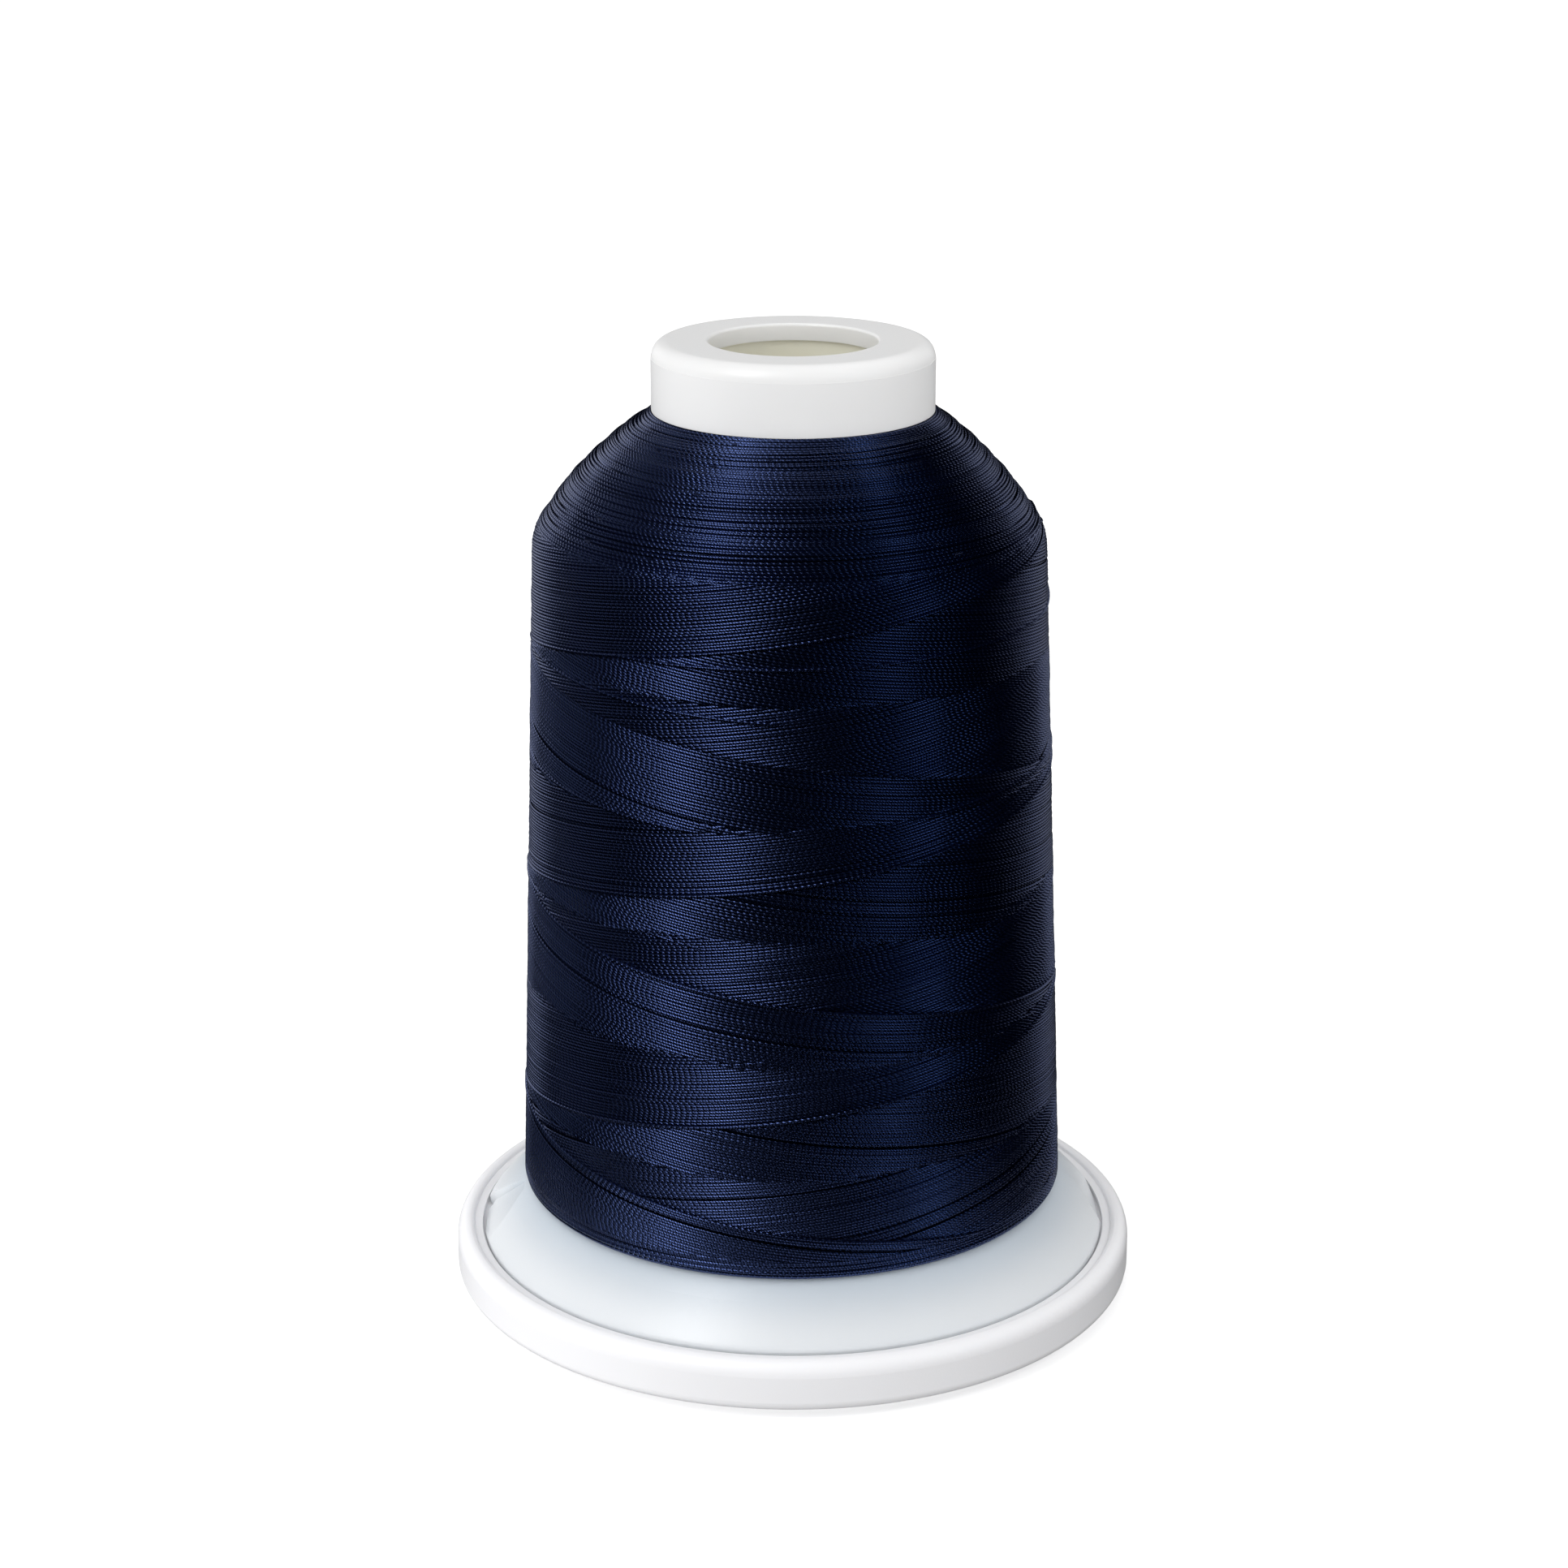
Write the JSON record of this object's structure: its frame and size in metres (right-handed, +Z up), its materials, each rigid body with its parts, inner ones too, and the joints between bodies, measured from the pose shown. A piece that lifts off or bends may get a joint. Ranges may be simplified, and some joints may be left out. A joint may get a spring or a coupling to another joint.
{
  "type": "spool of thread",
  "caption": "Machine sewing thread wound on a tube with a domed flange, a pressed-on top cap and a snap base that opens to trap the thread's end.",
  "frame": {"origin": "on the spool's axis, in the plane that the base stands on", "axes": "+Z up along the spool's axis; +X towards one of the two notches in the flange's lip, -X towards the other"},
  "size_m": [0.054, 0.054, 0.0756],
  "materials": {
    "white_plastic": "satin moulded plastic",
    "flange_plastic": "satin moulded plastic, slightly translucent",
    "natural_plastic": "unpigmented plastic",
    "navy_thread": "lustrous two-ply embroidery thread"
  },
  "bodies": {
    "base": {"snap_base": "white_plastic"},
    "spool": {"spool_flange": "flange_plastic", "core_tube": "natural_plastic", "top_cap": "white_plastic", "thread_package": "navy_thread"}
  },
  "joints": [
    {"name": "tail_lock_slide", "type": "slide", "parent": "base", "child": "spool", "axis": [0, 0, 1], "range_m": [0, 0.0025]}
  ]
}
